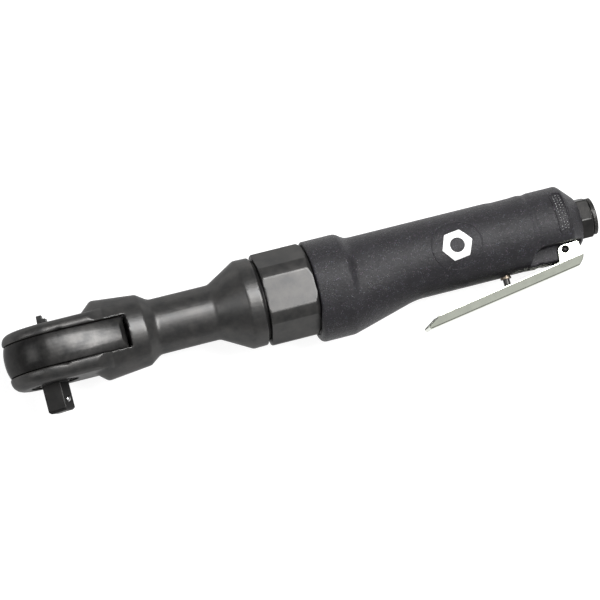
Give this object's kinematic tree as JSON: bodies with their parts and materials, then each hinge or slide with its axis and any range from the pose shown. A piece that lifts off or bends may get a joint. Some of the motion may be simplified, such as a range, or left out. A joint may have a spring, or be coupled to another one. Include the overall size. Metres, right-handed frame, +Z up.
{
  "type": "air ratchet",
  "caption": "Pneumatic ratchet wrench with a square drive on a forked head, a slim neck, a clamp nut, a textured round handle, a pivoting throttle lever and a threaded air inlet.",
  "frame": {"origin": "centre of the footprint of the tool as it lies on its side, on the surface it lies on", "axes": "+X from the head along the tool to the air inlet, +Y along the drive axis away from the square drive, +Z up out of the side of the handle"},
  "size_m": [0.2858, 0.055, 0.0438],
  "materials": {
    "dark_steel": "satin black-phosphated steel",
    "yoke_steel": "satin dark steel, worn brighter",
    "black_housing": "fine-textured black powder coat on cast aluminium",
    "lever_chrome": "bright plated steel sheet",
    "black_oxide": "black oxide",
    "brass": "dull",
    "bright_steel": "ground",
    "grey_steel": "machined",
    "seal_rubber": "matt",
    "phenolic": "fibre laminate"
  },
  "bodies": {
    "tool_body": {"ratchet_housing": "dark_steel", "thrust_washer": "bright_steel", "retaining_ring": "black_oxide", "crank_needle_bearing": "black_oxide", "crank_ball_bearing": "bright_steel", "crank_thrust_washer": "brass", "ring_gear": "bright_steel", "gear_spacer": "bright_steel", "clamp_nut": "dark_steel", "nut_snap_ring": "black_oxide", "front_end_plate": "grey_steel", "front_bearing": "bright_steel", "cylinder_liner": "grey_steel", "cylinder_pin": "bright_steel", "rear_end_plate": "grey_steel", "rear_bearing": "bright_steel", "motor_housing": "black_housing", "valve_seat": "brass", "valve_spring": "bright_steel", "plunger_bushing": "brass", "plunger_oring": "seal_rubber", "lever_pin": "dark_steel", "inlet_bushing": "black_oxide", "inlet_oring": "seal_rubber", "inlet_screen": "bright_steel"},
    "yoke": {"ratchet_yoke": "yoke_steel"},
    "square_drive": {"ratchet_anvil": "dark_steel", "pawl_pin": "bright_steel", "detent_spring": "bright_steel"},
    "pawl": {"pawl": "bright_steel"},
    "reverse_knob": {"reverse_knob": "dark_steel", "pawl_plunger": "bright_steel", "pawl_spring": "bright_steel"},
    "detent_ball": {"detent_ball": "bright_steel"},
    "crank": {"crankshaft": "dark_steel", "planet_pins": "bright_steel"},
    "drive_bushing": {"drive_bushing": "brass"},
    "planet_1": {"planet_gear_1": "bright_steel"},
    "planet_2": {"planet_gear_2": "bright_steel"},
    "planet_3": {"planet_gear_3": "bright_steel"},
    "rotor": {"rotor": "bright_steel", "rotor_blades": "phenolic"},
    "throttle_lever": {"throttle_lever": "lever_chrome"},
    "throttle_plunger": {"throttle_plunger": "black_oxide"},
    "throttle_valve": {"throttle_valve": "brass"}
  },
  "joints": [
    {"name": "yoke_rock", "type": "hinge", "parent": "tool_body", "child": "yoke", "pos_m": [-0.1225, 0.00567, 0.0219], "axis": [0, 1, 0], "range_deg": [-5, 5]},
    {"name": "drive_turn", "type": "hinge", "parent": "tool_body", "child": "square_drive", "pos_m": [-0.1225, 0.00567, 0.0219], "axis": [0, 1, 0], "continuous": true},
    {"name": "reverse_knob_turn", "type": "hinge", "parent": "square_drive", "child": "reverse_knob", "pos_m": [-0.1225, 0.00567, 0.0219], "axis": [0, 1, 0], "range_deg": [0, 30]},
    {"name": "pawl_rock", "type": "hinge", "parent": "square_drive", "child": "pawl", "pos_m": [-0.1149, 0.00567, 0.0219], "axis": [0, 1, 0], "range_deg": [-6.2, 0.2]},
    {"name": "detent_ball_press", "type": "slide", "parent": "square_drive", "child": "detent_ball", "axis": [-0.866, 0, -0.5], "range_m": [0, 0.0009], "stiffness_N_per_m": 1000, "springref_m": -0.001, "deforming": ["detent_spring"]},
    {"name": "crank_spin", "type": "hinge", "parent": "tool_body", "child": "crank", "pos_m": [-0.0325, 0.00567, 0.0219], "axis": [1, 0, 0], "continuous": true},
    {"name": "drive_bushing_spin", "type": "hinge", "parent": "crank", "child": "drive_bushing", "pos_m": [-0.1001, 0.00762, 0.0219], "axis": [1, 0, 0], "continuous": true},
    {"name": "planet_1_spin", "type": "hinge", "parent": "crank", "child": "planet_1", "pos_m": [-0.0207, 0.01377, 0.0219], "axis": [1, 0, 0], "continuous": true},
    {"name": "planet_2_spin", "type": "hinge", "parent": "crank", "child": "planet_2", "pos_m": [-0.0207, 0.00162, 0.02891], "axis": [1, 0, 0], "continuous": true},
    {"name": "planet_3_spin", "type": "hinge", "parent": "crank", "child": "planet_3", "pos_m": [-0.0207, 0.00162, 0.01489], "axis": [1, 0, 0], "continuous": true},
    {"name": "rotor_spin", "type": "hinge", "parent": "tool_body", "child": "rotor", "pos_m": [0.0175, 0.00567, 0.0219], "axis": [1, 0, 0], "continuous": true},
    {"name": "throttle_lever_press", "type": "hinge", "parent": "tool_body", "child": "throttle_lever", "pos_m": [0.124, -0.00643, 0.0219], "axis": [0, 0, -1], "range_deg": [0, 8], "stiffness_Nm_per_rad": 1, "springref_deg": -6.88},
    {"name": "plunger_press", "type": "slide", "parent": "tool_body", "child": "throttle_plunger", "axis": [0, 1, 0], "range_m": [0, 0.0043]},
    {"name": "valve_tilt", "type": "hinge", "parent": "tool_body", "child": "throttle_valve", "pos_m": [0.114, 0.00052, 0.0219], "axis": [0, 0, -1], "range_deg": [0, 12.5], "deforming": ["valve_spring"]}
  ],
  "couplings": [
    {"joint": "pawl_rock", "follows": "reverse_knob_turn", "ratio": -0.2},
    {"joint": "drive_bushing_spin", "follows": "crank_spin", "ratio": -1},
    {"joint": "planet_1_spin", "follows": "crank_spin", "ratio": -2.8},
    {"joint": "planet_2_spin", "follows": "crank_spin", "ratio": -2.8},
    {"joint": "planet_3_spin", "follows": "crank_spin", "ratio": -2.8},
    {"joint": "rotor_spin", "follows": "crank_spin", "ratio": 4.5},
    {"joint": "plunger_press", "follows": "throttle_lever_press", "m_per_rad": 0.0303},
    {"joint": "valve_tilt", "follows": "throttle_lever_press", "ratio": 1.54}
  ]
}
